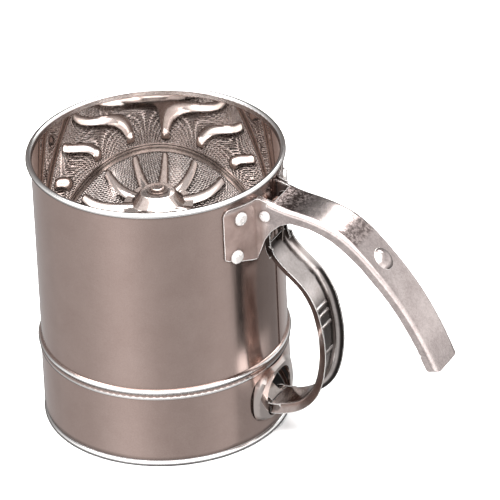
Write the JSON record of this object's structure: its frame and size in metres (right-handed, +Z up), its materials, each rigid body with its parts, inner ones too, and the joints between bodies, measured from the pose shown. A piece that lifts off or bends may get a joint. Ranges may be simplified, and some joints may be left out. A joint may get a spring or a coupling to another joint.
{
  "type": "flour sifter",
  "caption": "Round open-topped sifter can with a squeeze trigger in a curved handle that swings a star agitator over a woven screen.",
  "frame": {"origin": "centre of the plane that the bottom rim rests on, on the can's axis", "axes": "+Z up along the can's axis, +X towards the handle, +Y completes a right-handed set"},
  "size_m": [0.2238, 0.13, 0.1472],
  "materials": {
    "tin_body": "lightly worn tinplate",
    "tin_inner": "tinplate",
    "wire_cloth": "woven wire",
    "plated_small": "plated",
    "agitator_steel": "pressed sheet, polished by use",
    "link_steel": "plain sheet",
    "spring_wire": "drawn wire",
    "trigger_steel": "pressed tinplate",
    "handle_steel": "plated, uneven polish",
    "rivet_steel": "plated"
  },
  "bodies": {
    "canister": {"canister_shell": "tin_body", "screen_hoop": "tin_inner", "screen_cloth": "wire_cloth", "screen_clamp_ring": "tin_inner", "centre_eyelet": "plated_small", "bridge_bar": "tin_inner", "bridge_bush": "plated_small", "handle": "handle_steel", "handle_rivets": "rivet_steel", "trigger_pivot_pin": "rivet_steel", "return_spring": "spring_wire"},
    "trigger": {"trigger_lever": "trigger_steel", "link_pin": "plated_small"},
    "link": {"link_strip": "link_steel"},
    "agitator": {"agitator_star": "agitator_steel", "agitator_shaft": "plated_small", "hub_sleeve": "plated_small", "hub_washer": "plated_small", "thrust_washer": "plated_small", "crank_arm": "link_steel", "crank_pin": "plated_small", "crank_pin_clip": "spring_wire", "shaft_clip": "spring_wire"}
  },
  "joints": [
    {"name": "trigger_squeeze", "type": "hinge", "parent": "canister", "child": "trigger", "pos_m": [0.0665, 0, 0.1302], "axis": [0, -1, 0], "range_deg": [0, 15], "deforming": ["return_spring"]},
    {"name": "link_level", "type": "hinge", "parent": "trigger", "child": "link", "pos_m": [0.0605, 0, 0.0164], "axis": [0, -1, 0], "range_deg": [-15, 0]},
    {"name": "agitator_turn", "type": "hinge", "parent": "canister", "child": "agitator", "pos_m": [0, 0, 0.045], "axis": [0, 0, 1], "range_deg": [0, 67]}
  ],
  "couplings": [
    {"joint": "link_level", "follows": "trigger_squeeze", "ratio": -1},
    {"joint": "agitator_turn", "follows": "trigger_squeeze", "ratio": 4.44}
  ]
}
